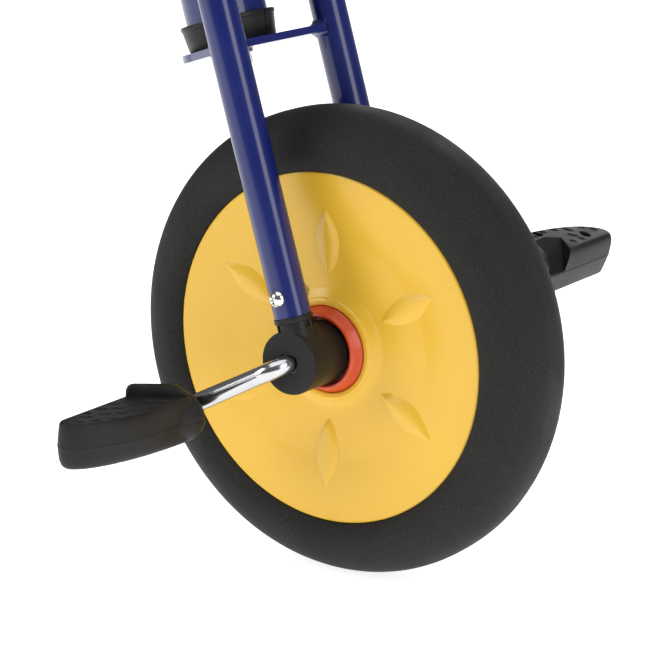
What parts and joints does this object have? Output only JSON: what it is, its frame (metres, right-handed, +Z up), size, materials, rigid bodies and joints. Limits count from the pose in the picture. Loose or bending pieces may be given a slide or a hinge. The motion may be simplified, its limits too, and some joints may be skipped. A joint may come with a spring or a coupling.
{
  "type": "tricycle front wheel and fork",
  "caption": "Front unit of a nursery tricycle: leaning twin-tube fork, direct-drive foam-tyred disc wheel on a one-piece bent crank, moulded pedals, and the head tube it steers in.",
  "frame": {"origin": "middle of the mouth of the frame socket, the short level tube behind the head", "axes": "+X forward, +Y to the rider's left, +Z up"},
  "size_m": [0.3588, 0.381, 0.5219],
  "materials": {
    "tyre": "fine-pored moulded foam",
    "disc_plastic": "smooth moulded, golden yellow",
    "collar_plastic": "smooth moulded, red-orange",
    "frame_paint": "gloss ultramarine powder coat",
    "crank_chrome": "bright plated",
    "screw_chrome": "bright plated",
    "zinc_steel": "zinc plated",
    "bush_nylon": "natural nylon",
    "pedal_plastic": "satin moulded, dimpled tread",
    "black_plastic": "satin moulded"
  },
  "bodies": {
    "head": {"head_tube": "frame_paint", "frame_socket_tube": "frame_paint", "lower_head_cup": "black_plastic", "upper_head_cup": "black_plastic", "lower_steering_bush": "bush_nylon", "upper_steering_bush": "bush_nylon"},
    "fork": {"right_fork_tube": "frame_paint", "left_fork_tube": "frame_paint", "lower_crown_plate": "frame_paint", "upper_crown_plate": "frame_paint", "crown_welds": "frame_paint", "steering_bolt": "zinc_steel", "steering_nut": "zinc_steel", "steering_washers": "zinc_steel", "right_axle_housing": "black_plastic", "left_axle_housing": "black_plastic", "right_axle_bush": "bush_nylon", "left_axle_bush": "bush_nylon", "housing_screws": "screw_chrome", "housing_nuts": "zinc_steel", "right_socket_liner": "black_plastic", "left_socket_liner": "black_plastic", "clamp_screws": "zinc_steel"},
    "wheel": {"tyre": "tyre", "right_wheel_disc": "disc_plastic", "left_wheel_disc": "disc_plastic", "hub_sleeve": "zinc_steel", "right_hub_collar": "collar_plastic", "left_hub_collar": "collar_plastic", "crank_rod": "crank_chrome", "drive_pin": "zinc_steel", "axle_spacers": "bush_nylon", "right_spindle_cap": "zinc_steel", "left_spindle_cap": "zinc_steel"},
    "right_pedal": {"right_pedal_tread": "pedal_plastic", "right_pedal_base": "pedal_plastic", "right_pedal_bushes": "bush_nylon", "right_pedal_screws": "zinc_steel"},
    "left_pedal": {"left_pedal_tread": "pedal_plastic", "left_pedal_base": "pedal_plastic", "left_pedal_bushes": "bush_nylon", "left_pedal_screws": "zinc_steel"}
  },
  "joints": [
    {"name": "steer", "type": "hinge", "parent": "head", "child": "fork", "pos_m": [0.16968, 0, -0.25374], "axis": [-0.2823, 0, 0.9593], "range_deg": [-45, 45]},
    {"name": "wheel_spin", "type": "hinge", "parent": "fork", "child": "wheel", "pos_m": [0.20383, 0, -0.24369], "axis": [0, 1, 0], "continuous": true},
    {"name": "right_pedal_spin", "type": "hinge", "parent": "wheel", "child": "right_pedal", "pos_m": [0.12953, -0.092, -0.28286], "axis": [0, 1, 0], "continuous": true},
    {"name": "left_pedal_spin", "type": "hinge", "parent": "wheel", "child": "left_pedal", "pos_m": [0.27814, 0.092, -0.20451], "axis": [0, 1, 0], "continuous": true}
  ]
}
